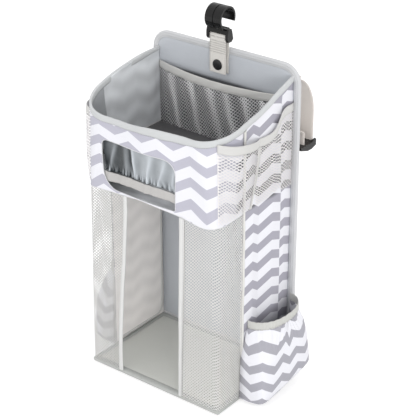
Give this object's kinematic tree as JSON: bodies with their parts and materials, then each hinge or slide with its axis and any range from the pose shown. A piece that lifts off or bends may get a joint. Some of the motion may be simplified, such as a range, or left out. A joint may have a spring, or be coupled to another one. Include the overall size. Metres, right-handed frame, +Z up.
{
  "type": "crib hanging organizer",
  "caption": "Soft hanging organizer with a stiff back panel and base, an open bay under a basket, mesh and cloth side pockets, a hook on a snap strap and rear rail straps.",
  "frame": {"origin": "centre of the underside of the base, on the surface that the organizer stands on", "axes": "+X to the right seen from the front, +Y from the open front to the back panel and the rail, +Z up to the hook"},
  "size_m": [0.35, 0.2318, 0.5704],
  "materials": {
    "printed_cloth": "white woven polyester printed with a light grey zigzag",
    "grey_lining": "smooth light grey woven lining",
    "beige_lining": "warm light grey coated lining",
    "bay_floor_cloth": "mid grey woven cloth",
    "basket_floor_cloth": "dark grey woven cloth",
    "binding_tape": "light grey ribbed binding tape",
    "mesh_cloth": "white knitted mesh with small lozenge holes",
    "satin": "shiny light grey satin",
    "ribbon": "flat beige elastic ribbon",
    "webbing": "light grey ribbed webbing",
    "stiffener": "plain stiffening sheet",
    "black_plastic": "glossy black moulded plastic",
    "snap_metal": "black lacquered metal"
  },
  "bodies": {
    "organizer": {"back_lining": "grey_lining", "back_board": "stiffener", "back_cover": "grey_lining", "back_binding": "binding_tape", "base_cover": "grey_lining", "base_board": "stiffener", "base_lining": "bay_floor_cloth", "base_binding": "binding_tape", "shelf_cover": "grey_lining", "shelf_board": "stiffener", "shelf_lining": "basket_floor_cloth", "side_cover_left": "printed_cloth", "side_lining_left": "beige_lining", "seam_tape_left": "binding_tape", "side_cover_right": "printed_cloth", "side_lining_right": "beige_lining", "seam_tape_right": "binding_tape", "front_band_cover": "printed_cloth", "front_band_lining": "grey_lining", "band_hem": "binding_tape", "rim_binding": "binding_tape", "wipes_pocket_liner": "grey_lining", "wipes_curtain": "satin", "wipes_ribbon": "ribbon", "front_mesh_left": "mesh_cloth", "front_mesh_binding_left": "binding_tape", "front_mesh_right": "mesh_cloth", "front_mesh_binding_right": "binding_tape", "inner_pocket_mesh": "mesh_cloth", "inner_pocket_binding": "binding_tape", "upper_pocket_mesh_left": "mesh_cloth", "upper_pocket_binding_left": "binding_tape", "upper_pocket_mesh_right": "mesh_cloth", "upper_pocket_binding_right": "binding_tape", "lower_pocket_left": "printed_cloth", "lower_pocket_elastic_left": "binding_tape", "lower_pocket_right": "printed_cloth", "lower_pocket_elastic_right": "binding_tape", "strap_loop": "webbing", "snap_stud": "snap_metal", "snap_rivet": "snap_metal", "rear_strap_left": "webbing", "rear_strap_right": "webbing"},
    "hook": {"hook": "black_plastic"},
    "strap_tail": {"strap_tail": "webbing", "snap_cap": "snap_metal", "snap_socket": "snap_metal"},
    "adjuster_left": {"strap_adjuster_left": "black_plastic"},
    "adjuster_right": {"strap_adjuster_right": "black_plastic"}
  },
  "joints": [
    {"name": "hook_swing", "type": "hinge", "parent": "organizer", "child": "hook", "pos_m": [-0.005, 0.0832, 0.524], "axis": [1, 0, 0], "range_deg": [-60, 40]},
    {"name": "strap_tail_open", "type": "hinge", "parent": "organizer", "child": "strap_tail", "pos_m": [-0.005, 0.07945, 0.521], "axis": [-1, 0, 0], "range_deg": [0, 75]},
    {"name": "adjuster_slide_left", "type": "slide", "parent": "organizer", "child": "adjuster_left", "axis": [0, 0, 1], "range_m": [0, 0.012]},
    {"name": "adjuster_slide_right", "type": "slide", "parent": "organizer", "child": "adjuster_right", "axis": [0, 0, 1], "range_m": [0, 0.012]}
  ]
}
